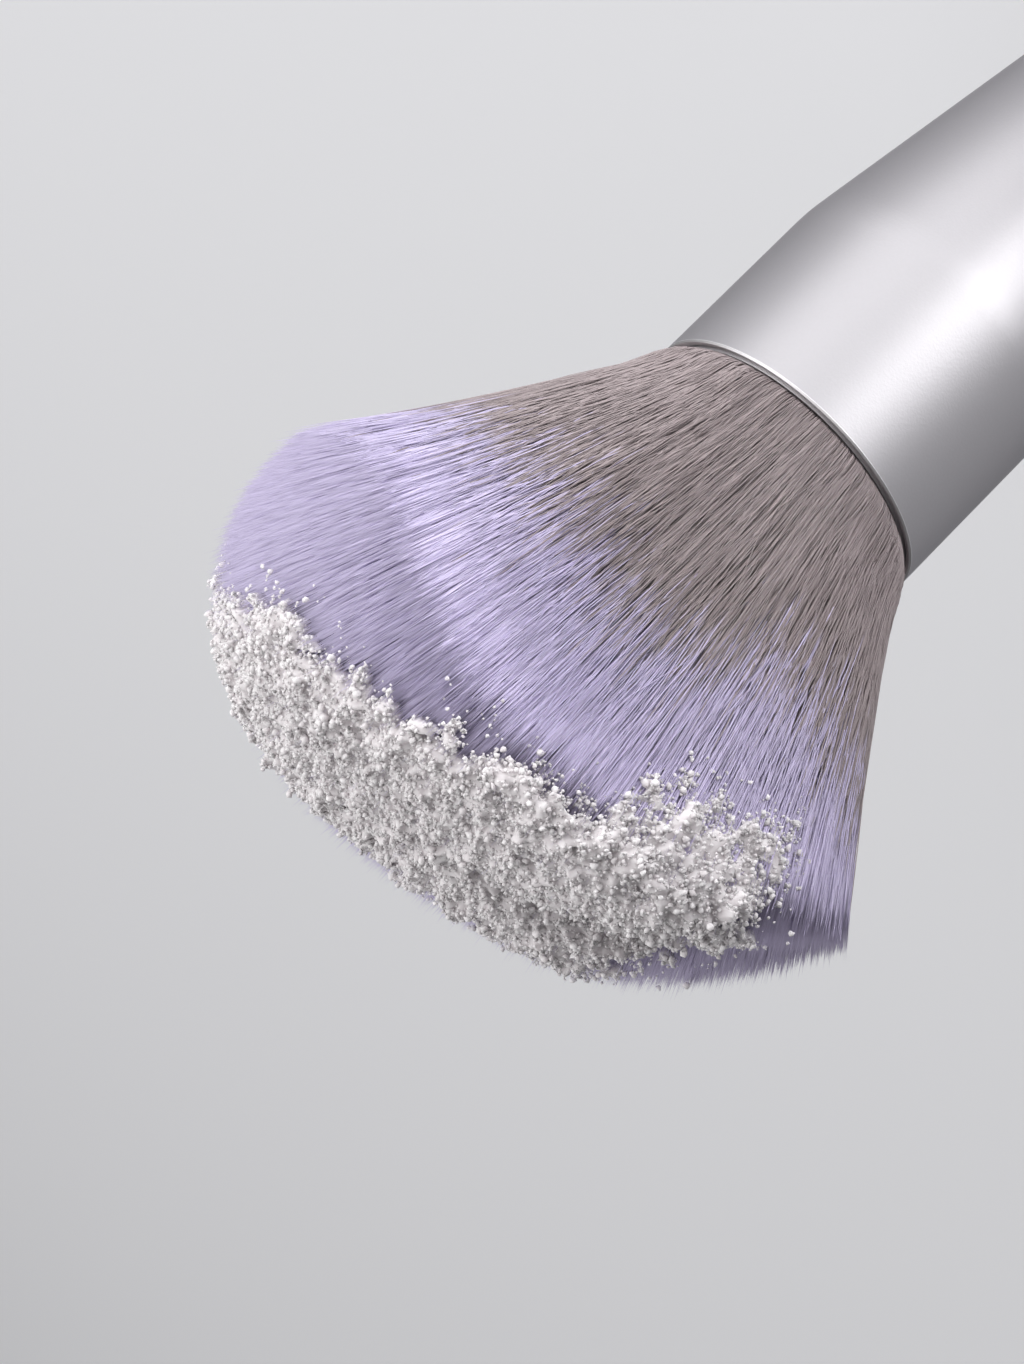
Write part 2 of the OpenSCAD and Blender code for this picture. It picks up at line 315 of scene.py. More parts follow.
def tip_at(share, phi):
    """Tip of a fibre: (R s cos, D s sin, E + (T - E)(1 - s^n)^(1/n)), above the rim, in mm.
    E is the height of the edge at that turn and T the height of the ridge, TOP + LEAN x."""
    w = 0.5 + 0.5 * np.cos(phi)
    si = np.abs(np.sin(phi))
    half_width = HALF_LEFT + (HALF_RIGHT - HALF_LEFT) * w
    low = EDGE_LEFT + (EDGE_RIGHT - EDGE_LEFT) * w
    bend = BEND_LEFT + (BEND_RIGHT - BEND_LEFT) * w
    edge = low + (EDGE_FRONT - low) * si ** (2 * bend)
    n = (ROUND_LEFT + (ROUND_RIGHT - ROUND_LEFT) * w) * (1 - si ** 2) + ROUND_FRONT * si ** 2
    x = half_width * share * np.cos(phi)
    y = HALF_DEEP * share * np.sin(phi)
    ridge = TOP + LEAN * x
    z = edge + (ridge - edge) * np.clip(1 - share ** n, 0, 1) ** (1 / n)
    return np.stack([x, y, z], -1)

def along(share, phi, t):
    """Path of a fibre from the rim (t 0) to its tip (t 1): a cubic curve whose inner points flare outwards
    and stand at INNER_REACH of the way from each end.
    share and phi have shape (n,), t (k,) or (n, k); the result is (n, k, 3) in mm above the rim."""
    foot = np.stack([RIM_R * share * np.cos(phi), RIM_R * share * np.sin(phi), 0 * phi], -1)[:, None, :]
    tip = tip_at(share, phi)[:, None, :]
    t = np.broadcast_to(t, (len(share), np.shape(t)[-1]))[..., None]
    d = (tip - foot) * INNER_REACH
    a = foot + d * np.array([FLARE_FOOT, FLARE_FOOT, 1])
    b = tip - d * np.array([FLARE_TIP, FLARE_TIP, 1])
    return (1 - t) ** 3 * foot + 3 * (1 - t) ** 2 * t * a + 3 * (1 - t) * t ** 2 * b + t ** 3 * tip

def even_turns(turns):
    """Moves turns that are even in angle so that they are even in length round the oval: the length from
    -pi to an angle is the sum of sqrt((HALF_RIGHT sin)^2 + (HALF_DEEP cos)^2) over it."""
    angle = np.linspace(-np.pi, np.pi, 721)
    pace = np.hypot(HALF_RIGHT * np.sin(angle), HALF_DEEP * np.cos(angle))
    length = np.concatenate([[0], np.cumsum((pace[1:] + pace[:-1]) / 2)])
    return np.interp((turns + np.pi) / (2 * np.pi) * length[-1], length, angle)

print("tip of the middle fibre", tip_at(np.array([0.0]), np.array([0.0])))

# %% [markdown]
# ## Fibre finish
# The fibres are synthetic filament, taupe at the root and dyed lavender at the tip. The UV map of a fibre is
# the way to tell the shader where it is: u is a tone that each fibre has of its own, and v rises with its
# height and is 0.5 where the dye starts. So the dye starts at another height on every fibre, as in real dip
# dyeing. On the crown the tones are paler on average, which is painted light.

# %% Fibre finish
DYE_BLEND = 0.015
TONE_DARK, TONE_PALE = 0.78, 1.14

def dye_group():
    """Inputs: Root, Tip. Output: Color, root below v 0.5 and tip above, darker or paler by the tone u."""
    group = bpy.data.node_groups.new("dip_dye", "ShaderNodeTree")
    group.interface.new_socket("Root", in_out="INPUT", socket_type="NodeSocketColor")
    group.interface.new_socket("Tip", in_out="INPUT", socket_type="NodeSocketColor")
    group.interface.new_socket("Color", in_out="OUTPUT", socket_type="NodeSocketColor")
    get = group.nodes.new("NodeGroupInput")
    put = group.nodes.new("NodeGroupOutput")
    uv = node(group, "ShaderNodeUVMap", uv_map="OFBake")
    split = group.nodes.new("ShaderNodeSeparateXYZ")
    step = node(group, "ShaderNodeMapRange", interpolation_type="SMOOTHSTEP")
    step.inputs["From Min"].default_value = 0.5 - DYE_BLEND
    step.inputs["From Max"].default_value = 0.5 + DYE_BLEND
    mix = node(group, "ShaderNodeMix", data_type="RGBA")
    tone = node(group, "ShaderNodeMapRange")
    tone.inputs["To Min"].default_value = TONE_DARK
    tone.inputs["To Max"].default_value = TONE_PALE
    shade = node(group, "ShaderNodeMix", data_type="RGBA", blend_type="MULTIPLY")
    shade.inputs["Factor"].default_value = 1.0
    link = group.links.new
    link(uv.outputs["UV"], split.inputs[0])
    link(split.outputs["Y"], step.inputs["Value"])
    link(split.outputs["X"], tone.inputs["Value"])
    link(step.outputs["Result"], mix.inputs["Factor"])
    link(get.outputs["Root"], mix.inputs["A"])
    link(get.outputs["Tip"], mix.inputs["B"])
    link(mix.outputs["Result"], shade.inputs["A"])
    link(tone.outputs["Result"], shade.inputs["B"])
    link(shade.outputs["Result"], put.inputs["Color"])
    return group

fibre_material, tree, shader = new_material("bristle_fibre_finish")
dye = tree.nodes.new("ShaderNodeGroup")
dye.node_tree = dye_group()
dye.inputs["Root"].default_value = linear(158, 146, 147)
dye.inputs["Tip"].default_value = linear(199, 190, 219)
shader.inputs["Roughness"].default_value = 0.42
shader.inputs["Specular IOR Level"].default_value = 0.45
tree.links.new(dye.outputs["Color"], shader.inputs["Base Color"])
print("fibre finish reads the OFBake map")

# %% [markdown]
# ## Height of the dye
# The dye doesn't start in a straight line. It dips at the sides, where the shorter fibres are, and each wisp
# carries it a little higher or lower.

# %% Height of the dye
DYE_X = [-35, -26, -16, -10, 0, 11, 25.6, 33]
DYE_Z = [19, 19, 19.5, 24.5, 27.8, 24.6, 22.2, 21.5]
MID_WAY, MID_SPREAD = 0.6, 0.75
DYE_BY_WISP, DYE_BY_FIBRE = 2.6, 2.2

def dye_height(share, phi, wisp, own):
    """Height above the rim where the dye starts, in mm, read from DYE_X and DYE_Z at the side place of the
    fibre. At 60% of its way a fibre has about 75% of its tip's x."""
    x = along(share, phi, np.array([MID_WAY]))[:, 0, 0]
    return np.interp(x / MID_SPREAD, DYE_X, DYE_Z) + DYE_BY_WISP * wisp + DYE_BY_FIBRE * own

# %% [markdown]
# ## Fibres from paths
# A fibre is a three-sided rod on its path that thins to a point. All rods are computed as one array: at each
# step along the path three corners stand round it, and the last step is a single point. The corners of each
# face are listed so that it faces outwards.

# %% Fibres from paths
V_SPAN = 100

def rods(paths, width, taper, tone, dye_z):
    """paths (n, k, 3) in mm above the rim; width (n,) in mm; taper (k,) times the width. Returns points,
    faces and uv, where v changes by 1 over V_SPAN mm of height. Corner j of a ring stands at
    path + w / 2 (side cos a + out sin a), with a = 90 + 120 j degrees."""
    n, k, _ = paths.shape
    d = np.gradient(paths, axis=1)
    d /= np.linalg.norm(d, axis=-1, keepdims=True) + 1e-9
    out = paths * np.array([1, 1, 0])
    out /= np.linalg.norm(out, axis=-1, keepdims=True) + 1e-9
    side = np.cross(d, out)
    side /= np.linalg.norm(side, axis=-1, keepdims=True) + 1e-9
    out = np.cross(side, d)
    a = np.radians([90, 210, 330])
    w = (width[:, None] * taper[None, :] / 2)[:, :-1, None, None]
    ring = w * (side[:, :-1, None, :] * np.cos(a)[:, None] + out[:, :-1, None, :] * np.sin(a)[:, None])
    ring = ring + paths[:, :-1, None, :]
    points = np.concatenate([ring.reshape(n, -1, 3), paths[:, -1:, :]], 1)
    per = 3 * (k - 1) + 1
    j = np.arange(3)
    nxt = (j + 1) % 3
    low = (np.arange(k - 2) * 3)[:, None]
    quad_a = np.stack([low + j, low + nxt, low + 3 + nxt], -1).reshape(-1, 3)
    quad_b = np.stack([low + j, low + 3 + nxt, low + 3 + j], -1).reshape(-1, 3)
    last = (k - 2) * 3
    point = np.stack([last + j, last + nxt, np.full(3, per - 1)], -1)
    base = np.array([[2, 1, 0]])
    one = np.concatenate([quad_a, quad_b, point, base])[:, ::-1]
    faces = (one[None] + (np.arange(n) * per)[:, None, None]).reshape(-1, 3)
    z = np.concatenate([np.repeat(paths[:, :-1, 2], 3, axis=1), paths[:, -1:, 2]], 1)
    v = np.clip(0.5 + (z - dye_z[:, None]) / V_SPAN, 0.01, 0.99)
    u = np.clip(tone, 0.01, 0.97)[:, None] + np.concatenate([np.tile([0, 0.01, 0.02], k - 1), [0.01]])[None]
    place = points + np.array([0, 0, RIM_Z])
    return place.reshape(-1, 3) * MM, faces, np.stack([u, v], -1).reshape(-1, 2)

# %% [markdown]
# ## Outer fibres
# The outer layers are what one sees on the sides, so these fibres are whole, from the ferrule to the tip.
# Each is turned on from the one before by the golden angle, so that they stand evenly round the head. They
# gather into wisps: each fibre is drawn to the nearest wisp and wanders a little.

# %% Outer fibres
FLANK_COUNT = 7500
WISP_COUNT = 1900
WISP_SIDE, WISP_LIFT = 0.15, 0.10
OWN_SIDE, OWN_LIFT = 0.10, 0.08
STRAY_SHARE, STRAY_TIMES = 0.10, 3.0
SINK = 0.15
HOLD = 0.12
REACH_PER_TURN = 22
PARTS = 5
BULGE, BULGE_Z = 0.75, 1.2
FRINGE = 0.6
TIP_SPREAD = 0.45
SHORTER = 0.03
LAYER_DEPTH = 0.14

def nearest_wisp(phi, share, count, seed):
    """Index of the wisp that each fibre belongs to: the nearest of count chosen fibres, with distances of
    REACH_PER_TURN mm for each radian round the head and the same for each whole share."""
    chosen = np.random.default_rng(seed).choice(len(phi), count, replace=False)
    pick = np.empty(len(phi), int)
    for start in range(0, len(phi), 1000):
        some = slice(start, start + 1000)
        turn = (phi[some, None] - phi[chosen][None] + np.pi) % (2 * np.pi) - np.pi
        inwards = share[some, None] - share[chosen][None]
        gap = (REACH_PER_TURN * turn) ** 2 + (REACH_PER_TURN * inwards) ** 2
        pick[some] = gap.argmin(1)
    return pick, chosen

def wave(amount, turns, start, t):
    """amount sin(2 pi (turns t + start)), one row for each fibre."""
    return amount[:, None] * np.sin(2 * np.pi * (turns[:, None] * t[None] + start[:, None]))

def rim_bulge(share, z):
    """The outermost fibres swell over the rim: BULGE (z / BULGE_Z) exp(1 - z / BULGE_Z) mm outwards."""
    outer = np.clip((share - 0.9) / 0.1, 0, 1)
    return outer[:, None] * BULGE * z / BULGE_Z * np.exp(1 - z / BULGE_Z)

def fringe(phi):
    """Extra length of the tips: FRINGE mm on the +X side, where the edge of the crown stands higher."""
    return FRINGE * np.clip(np.cos(phi), 0, 1)

def lengthen(paths, amount, t):
    """Stretches fibres by amount mm along their last stretch, growing with t to the power 4."""
    last = paths[:, -1] - paths[:, -2]
    last = last / np.linalg.norm(last, axis=-1, keepdims=True)
    return paths + last[:, None] * (amount[:, None] * t ** 4)[..., None]

def flank_paths(share, phi, t, seed):
    """Paths of the outer fibres. A wisp draws its fibres together and lets them go again along its length,
    and wanders sideways and in and out on a wave. Each fibre adds a smaller wave, and a few stray. None
    wander in the rim, and all wander less towards the tip."""
    n = len(phi)
    draw = np.random.default_rng(seed)
    pick, chosen = nearest_wisp(phi, share, WISP_COUNT, seed + 1)
    base = along(share, phi, t[None] * (1 - SHORTER * draw.random(n) ** 2)[:, None])
    x, y = base[..., 0], base[..., 1]
    r = np.hypot(x, y)
    def of_wisp(low, high):
        return draw.uniform(low, high, WISP_COUNT)[pick]
    free = (np.clip(t / 0.14, 0, 1) * (1 - 0.75 * np.clip((t - 0.5) / 0.35, 0, 1)))[None]
    gap = (phi[chosen][pick] - phi + np.pi) % (2 * np.pi) - np.pi
    hold = HOLD + wave(of_wisp(0.08, 0.28), of_wisp(2.0, 4.5), of_wisp(0, 1), t)
    side = gap[:, None] * hold * r * free
    sway = draw.normal(0, WISP_SIDE, WISP_COUNT)[pick]
    side = side + free * wave(sway, of_wisp(1.4, 4.0), of_wisp(0, 1), t)
    rise = draw.normal(0, WISP_LIFT, WISP_COUNT)[pick]
    lift = free * wave(rise, of_wisp(1.4, 4.0), of_wisp(0, 1), t)
    stray = np.where(draw.random(n) < STRAY_SHARE, STRAY_TIMES, 1.0)
    side = side + free * wave(draw.normal(0, OWN_SIDE, n) * stray, draw.uniform(1, 3, n), draw.random(n), t)
    lift = lift + free * wave(draw.normal(0, OWN_LIFT, n) * stray, draw.uniform(1, 3, n), draw.random(n), t)
    lift = lift - SINK * free + rim_bulge(share, base[..., 2])
    cx, cy = x / (r + 1e-9), y / (r + 1e-9)
    moved = base.copy()
    moved[..., 0] = x - cy * side + cx * lift
    moved[..., 1] = y + cx * side + cy * lift
    return lengthen(moved, draw.normal(0, TIP_SPREAD, n) + fringe(phi), t[None]), pick

def add_fibres(name, share, phi, paths, width, taper, tone, dye_z):
    """Makes one fibre piece and lets it stand for the bundle."""
    points, faces, uv = rods(paths, width, taper, tone, dye_z)
    piece = make_piece(name, points, faces, uv, fibre_material)
    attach(piece, "root")
    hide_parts("bristle_bundle")
    return piece

t = np.concatenate([[0, 0.012, 0.028, 0.05, 0.08], np.linspace(0.12, 1, 12)])
taper = np.where(t < 0.8, 1.0, 1 - 0.75 * ((t - 0.8) / 0.2) ** 1.5)
wisp_dye = np.random.default_rng(21).normal(0, 1, WISP_COUNT)
phi_all = even_turns((np.arange(FLANK_COUNT) * np.pi * (3 - 5 ** 0.5)) % (2 * np.pi) - np.pi)
share_all = 1 - LAYER_DEPTH * rng.random(FLANK_COUNT) ** 1.3
tone_all = np.clip(rng.normal(0.5, 0.18, FLANK_COUNT), 0, 1)
own_all = rng.normal(0, 1, FLANK_COUNT)
width_all = rng.uniform(0.10, 0.16, FLANK_COUNT)
paths_all, pick_all = flank_paths(share_all, phi_all, t, 31)
dye_all = dye_height(share_all, phi_all, wisp_dye[pick_all], own_all)
order = np.argsort(phi_all)
for part, m in enumerate(np.array_split(order, PARTS)):
    add_fibres("outer_fibres_%d" % (part + 1), share_all[m], phi_all[m], paths_all[m], width_all[m], taper,
               tone_all[m], dye_all[m])
print("outer fibres", FLANK_COUNT, "in", PARTS, "parts")

# %% [markdown]
# ## Stray fibres
# No bundle is perfectly combed. A few hundred thin fibres stand off the outside, more so towards their tips,
# and cross their neighbours, which softens the outline against the background.

# %% Stray fibres
STRAY_COUNT = 380
STRAY_SIDE, STRAY_OFF, STRAY_LIFT = 0.5, 0.5, 0.12
stray_draw = np.random.default_rng(5)
phi_s = even_turns(stray_draw.uniform(-np.pi, np.pi, STRAY_COUNT))
share_s = np.ones(STRAY_COUNT)
paths_s = along(share_s, phi_s, t)
r_s = np.hypot(paths_s[..., 0], paths_s[..., 1]) + 1e-9
cx_s, cy_s = paths_s[..., 0] / r_s, paths_s[..., 1] / r_s
free_s = np.clip(t / 0.2, 0, 1)[None]
sway_s = stray_draw.normal(0, STRAY_SIDE, STRAY_COUNT)
side_s = free_s * wave(sway_s, stray_draw.uniform(0.5, 2, STRAY_COUNT), stray_draw.random(STRAY_COUNT), t)
off_tip = np.abs(stray_draw.normal(0, STRAY_OFF, STRAY_COUNT)).clip(0, STRAY_OFF)
off_s = STRAY_LIFT * free_s + off_tip[:, None] * t[None] ** 2.5
off_s = off_s + rim_bulge(share_s, paths_s[..., 2])
paths_s[..., 0] += cx_s * off_s - cy_s * side_s
paths_s[..., 1] += cy_s * off_s + cx_s * side_s
paths_s = lengthen(paths_s, stray_draw.normal(0.1, 0.4, STRAY_COUNT) + fringe(phi_s), t[None])
width_s = stray_draw.uniform(0.07, 0.11, STRAY_COUNT)
tone_s = stray_draw.uniform(0.5, 1, STRAY_COUNT)
wisp_s = stray_draw.normal(0, 1, STRAY_COUNT)
dye_s = dye_height(share_s, phi_s, wisp_s, stray_draw.normal(0, 1, STRAY_COUNT))
add_fibres("stray_fibres", share_s, phi_s, paths_s, width_s, taper, tone_s, dye_s)
print("stray fibres", STRAY_COUNT)

# %% [markdown]
# ## Surface hairs
# Close up, hairs rise out of the mat, cross a few neighbours and dive in again, so the dark slits between
# the wisps are short. Making that with whole fibres would need hundreds of steps on each. Here only the
# stretch that lies on top is made: an arc whose two ends sink under the surface.

# %% Surface hairs
HAIR_COUNT = 15000
HAIR_DIP = 0.30
HAIR_TAPER = np.array([0.7, 1, 1, 0.9, 0.3])
hair_draw = np.random.default_rng(9)
phi_h = even_turns(hair_draw.uniform(-np.pi, np.pi, HAIR_COUNT))
half_h = hair_draw.uniform(0.05, 0.13, HAIR_COUNT)
middle_h = hair_draw.uniform(0.02, 1.03, HAIR_COUNT) ** 0.85
end_h = np.clip(middle_h + half_h, 0.1, 1 - SHORTER * hair_draw.random(HAIR_COUNT))
start_h = np.clip(middle_h - half_h, 0, 0.94)
span = np.linspace(0, 1, 5)
t_h = start_h[:, None] + (end_h - start_h)[:, None] * span[None]
paths_h = along(np.ones(HAIR_COUNT), phi_h, t_h)
run = np.linalg.norm(paths_h[:, -1] - paths_h[:, 0], axis=-1)
r_h = np.hypot(paths_h[..., 0], paths_h[..., 1]) + 1e-9
cx_h, cy_h = paths_h[..., 0] / r_h, paths_h[..., 1] / r_h
slant = hair_draw.normal(0, 0.05, HAIR_COUNT)
arc = (2 * span - 1)[None] ** 2
side_h = (slant * run)[:, None] * (span - 0.5)[None] + hair_draw.normal(0, 0.1, HAIR_COUNT)[:, None] * arc
lift_h = -HAIR_DIP + (HAIR_DIP + hair_draw.uniform(0.0, 0.2, HAIR_COUNT))[:, None] * (1 - arc)
lift_h = lift_h * (1 - t_h ** 8)
lift_h = lift_h + rim_bulge(np.ones(HAIR_COUNT), paths_h[..., 2])
paths_h[..., 0] += cx_h * lift_h - cy_h * side_h
paths_h[..., 1] += cy_h * lift_h + cx_h * side_h
paths_h = lengthen(paths_h, hair_draw.normal(0, 0.4, HAIR_COUNT) + fringe(phi_h), t_h)
wisp_h = hair_draw.normal(0, 1, HAIR_COUNT)
dye_h = dye_height(np.ones(HAIR_COUNT), phi_h, wisp_h, hair_draw.normal(0, 1, HAIR_COUNT))
tone_h = np.clip(hair_draw.normal(0.62, 0.2, HAIR_COUNT), 0, 1)
for part in range(2):
    m = (np.arange(HAIR_COUNT) % 2) == part
    add_fibres("surface_hairs_%d" % (part + 1), np.ones(m.sum()), phi_h[m], paths_h[m],
               hair_draw.uniform(0.08, 0.14, m.sum()), HAIR_TAPER, tone_h[m], dye_h[m])
print("surface hairs", HAIR_COUNT)

# %% [markdown]
# ## Inner body
# Between the outer fibres one looks into the dark of the bundle. A closed surface a little inside them stops
# the light, so that the thousands of fibres in the middle need not be made from end to end. Its dark brown
# is painted shade, far darker than the fibres' own colours, for the shade deep in the bundle.

# %% Inner body
BODY_SHARE = 0.86
CROWN_DEPTH = 5.0
BODY_TURNS = 120
turns = np.linspace(0, 2 * np.pi, BODY_TURNS + 1)[:-1]
levels = np.linspace(0, 1, 24)
side_wall = along(np.full(BODY_TURNS, BODY_SHARE), turns, levels).transpose(1, 0, 2)
side_wall[..., 2] *= (1 - CROWN_DEPTH / side_wall[-1, :, 2])[None]
rings = [side_wall]
for q in np.linspace(0.97, 0.05, 22):
    tip = tip_at(np.full(BODY_TURNS, BODY_SHARE * q), turns)
    tip[:, 2] -= CROWN_DEPTH
    rings.append(tip[None])
grid = np.concatenate(rings)
middle = tip_at(np.array([0.0]), np.array([0.0])) - np.array([0, 0, CROWN_DEPTH])
bottom = np.array([[0.0, 0.0, 0.0]])
points = np.concatenate([grid.reshape(-1, 3), middle, bottom])
rows, cols = np.meshgrid(np.arange(len(grid) - 1), np.arange(BODY_TURNS), indexing="ij")
a, b = rows * BODY_TURNS + cols, rows * BODY_TURNS + (cols + 1) % BODY_TURNS
quads = np.stack([a, b, b + BODY_TURNS, a + BODY_TURNS], -1).reshape(-1, 4)
tris = np.concatenate([quads[:, [0, 1, 2]], quads[:, [0, 2, 3]]])
end = (len(grid) - 1) * BODY_TURNS
c = np.arange(BODY_TURNS)
top = np.stack([end + c, end + (c + 1) % BODY_TURNS, np.full(BODY_TURNS, len(points) - 2)], -1)
foot = np.stack([(c + 1) % BODY_TURNS, c, np.full(BODY_TURNS, len(points) - 1)], -1)
# Painted shade: the inner body's dark colours stand for the shade deep in the bundle, not for the fibres'
# own colours.
painted_shade_material = moulded("bundle_core_painted_shade", linear(82, 74, 78), linear(106, 97, 104), 0.5, 0.9, 0.5)
body = make_piece("bundle_core_painted_shade", (points + np.array([0, 0, RIM_Z])) * MM,
                  np.concatenate([tris, top, foot]), material=painted_shade_material)
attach(body, "root")
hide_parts("bristle_bundle")
print("inner body", len(points), "points")

# %% [markdown]
# ## Where the powder lies
# The brush has been pressed into face powder, so a crust covers most of its crown and hangs down over the
# edge in front. The crust needs a surface to lie on: a grid of rows over the crown and down the outside,
# and of columns round the head. Waves of several lengths make the border ragged and the crust lumpy.
# It stops short of the back of the crown, stays on the front below its edge, and fills the low crease on -X.

# %% Where the powder lies
COLUMNS, CROWN_ROWS, FLANK_ROWS = 420, 92, 44
BACK_LIMIT, SIDE_LIMIT = 13.0, -3.0
RAGGED, FINE_RAGGED = 0.8, 0.5
CRUST_EDGE, CRUST_THICK = -0.35, 0.75
LUMPS, SMALL_LUMPS, FINE_LUMPS = 0.25, 0.2, 0.12
CREASE_FILL, CREASE_WIDTH = 0.7, 1.3
SLANT = 0.352
# Border of the dusted area, side place x and slanted height z + SLANT y, in mm above the rim
DUSTED = np.array([[31, 47], [24, 45.5], [21.6, 41.7], [18.6, 43.2], [14.4, 42.7], [5.5, 40.8], [-3.9, 37],
                   [-9.5, 37.5], [-10.8, 32.3], [-14.2, 26.5], [-18, 26], [-22, 24.5], [-24.7, 26.8],
                   [-25.5, 32], [-24.6, 37], [-22.5, 42], [-19, 47], [-19, 70], [31, 70]])

def ripples(seed, size, place):
    """Smooth noise with a spread of about 1: twenty sine waves of length near size mm, each its own way.
    Their sum is divided by the root of ten, as a sine has half a unit of variance."""
    draw = np.random.default_rng(seed)
    way = draw.normal(0, 1, (20, 3))
    way *= (2 * np.pi / size * draw.uniform(0.7, 1.4, 20) / np.linalg.norm(way, axis=1))[:, None]
    return np.sin(place @ way.T + draw.uniform(0, 2 * np.pi, 20)).sum(-1) / 10 ** 0.5

def inside_border(place):
    """Distance in mm from the border of the dusted area, positive inside. A place is inside where the
    border's sides cross a level line to its right an odd number of times."""
    px, py = place[..., 0], place[..., 2] + SLANT * place[..., 1]
    odd = np.zeros(px.shape, bool)
    nearest = np.full(px.shape, 99.0)
    for (ax, ay), (bx, by) in zip(DUSTED, np.roll(DUSTED, -1, 0)):
        odd ^= ((ay > py) != (by > py)) & (px < ax + (bx - ax) * (py - ay) / (by - ay + 1e-12))
        part = ((px - ax) * (bx - ax) + (py - ay) * (by - ay)) / ((bx - ax) ** 2 + (by - ay) ** 2)
        part = np.clip(part, 0, 1)
        nearest = np.minimum(nearest, np.hypot(px - ax - part * (bx - ax), py - ay - part * (by - ay)))
    return np.where(odd, nearest, -nearest)

turns_p = np.linspace(-np.pi, np.pi, COLUMNS + 1)[:-1]
share_p = 1 - np.linspace(0.9998, 0, CROWN_ROWS) ** 2
over_crown = tip_at(share_p[:, None], turns_p[None])
down_side = along(np.ones(COLUMNS), turns_p, np.linspace(1, 0.5, FLANK_ROWS + 1)[1:]).transpose(1, 0, 2)
under = np.concatenate([over_crown, down_side])
across = (np.roll(under, -1, 1) - np.roll(under, 1, 1)) / 2
along_row = np.gradient(under, axis=0)
normal = np.cross(across, along_row)
area = np.linalg.norm(normal, axis=-1)
normal = normal / (area[..., None] + 1e-12)
normal = normal * np.sign((normal * (under - np.array([0, 0, 24.0]))).sum(-1, keepdims=True))
depth = inside_border(under)
limit = np.where(np.arange(len(under)) < CROWN_ROWS, BACK_LIMIT, SIDE_LIMIT)[:, None]
depth = np.minimum(depth, (limit - under[..., 1]) * 0.8)
depth = depth + RAGGED * ripples(1, 4.0, under) + FINE_RAGGED * ripples(2, 1.5, under)
fill = np.clip(depth / 1.8, 0, 1) ** 0.7
thick = CRUST_THICK + LUMPS * ripples(3, 3.5, under)
crust = CRUST_EDGE + fill * thick + SMALL_LUMPS * ripples(4, 1.4, under)
crust = crust + FINE_LUMPS * ripples(5, 0.8, under)
in_crease = np.exp(-(under[..., 1] / CREASE_WIDTH) ** 2)
crust = crust + CREASE_FILL * fill * in_crease * np.clip(-under[..., 0] / 5, 0, 1)
print("dusted share of the grid", (depth > 0).mean().round(2))

# %% [markdown]
# ## Crown fibres
# The crown is a velvet of tips. Only the last few millimetres of these fibres show, so each starts 1 to 7 mm
# under the inner body's top and has few faces. The starts differ, or they would draw a line on the side of
# the hair. The tips are spread by the true area of the crown, because it is steep near its edge and would
# look thin there otherwise. Fewer lie under the crust, where nobody sees them.

# %% Crown fibres
CROWN_COUNT = 34000
UNDER_CRUST, WELL_INSIDE = 0.4, 1.5
TIP_WANDER = np.array([0.22, 0.22, 0.35])
LONG_SHARE = 0.12
CROWN_TAPER = np.array([0.3, 1.0, 0.35])
CROWN_DYE = 22.0
crown_draw = np.random.default_rng(14)
here = area[:CROWN_ROWS] * np.where(depth[:CROWN_ROWS] > WELL_INSIDE, UNDER_CRUST, 1.0)
pick_c = crown_draw.choice(here.size, CROWN_COUNT, p=(here / here.sum()).ravel())
row_c = pick_c // COLUMNS + crown_draw.uniform(-0.5, 0.5, CROWN_COUNT)
share_c = np.interp(row_c, np.arange(CROWN_ROWS), share_p)
phi_c = turns_p[pick_c % COLUMNS] + crown_draw.uniform(-0.5, 0.5, CROWN_COUNT) * 2 * np.pi / COLUMNS
index = np.arange(CROWN_COUNT)
length = CROWN_DEPTH + crown_draw.uniform(1.0, 7.0, CROWN_COUNT)
whole = tip_at(share_c, phi_c)[:, 2]
starts = np.clip(1 - length / whole, 0, 1)
steps = np.array([0.0, 0.6, 1.0])
t_c = starts[:, None] + (1 - starts[:, None]) * steps[None]
paths = along(share_c, phi_c, t_c)
paths = paths + rng.normal(0, 1, (CROWN_COUNT, 1, 3)) * TIP_WANDER * steps[None, :, None]
longer = np.where(rng.random(CROWN_COUNT) < LONG_SHARE, rng.uniform(0.2, 1.0, CROWN_COUNT), 0)
paths = lengthen(paths, longer + fringe(phi_c) * share_c ** 4, steps[None])
# Painted light: the crown's tones have a mean of 0.82, paler than the outer fibres' 0.5, which lifts the
# shade on the crown. Their spread is each fibre's own.
crown_tone_with_painted_light = np.clip(rng.normal(0.82, 0.2, CROWN_COUNT), 0, 1)
dye_c = np.full(CROWN_COUNT, CROWN_DYE)
width_c = rng.uniform(0.16, 0.21, CROWN_COUNT)
for part in range(3):
    m = (index % 3) == part
    add_fibres("crown_fibres_%d" % (part + 1), share_c[m], phi_c[m], paths[m], width_c[m],
               CROWN_TAPER, crown_tone_with_painted_light[m], dye_c[m])
print("crown fibres", CROWN_COUNT)

# %% [markdown]
# ## Powder finish
# Powder is matt and pale, with grains a little darker or whiter than their neighbours. Each grain has a tone
# of its own in the u of its map, as the fibres have.

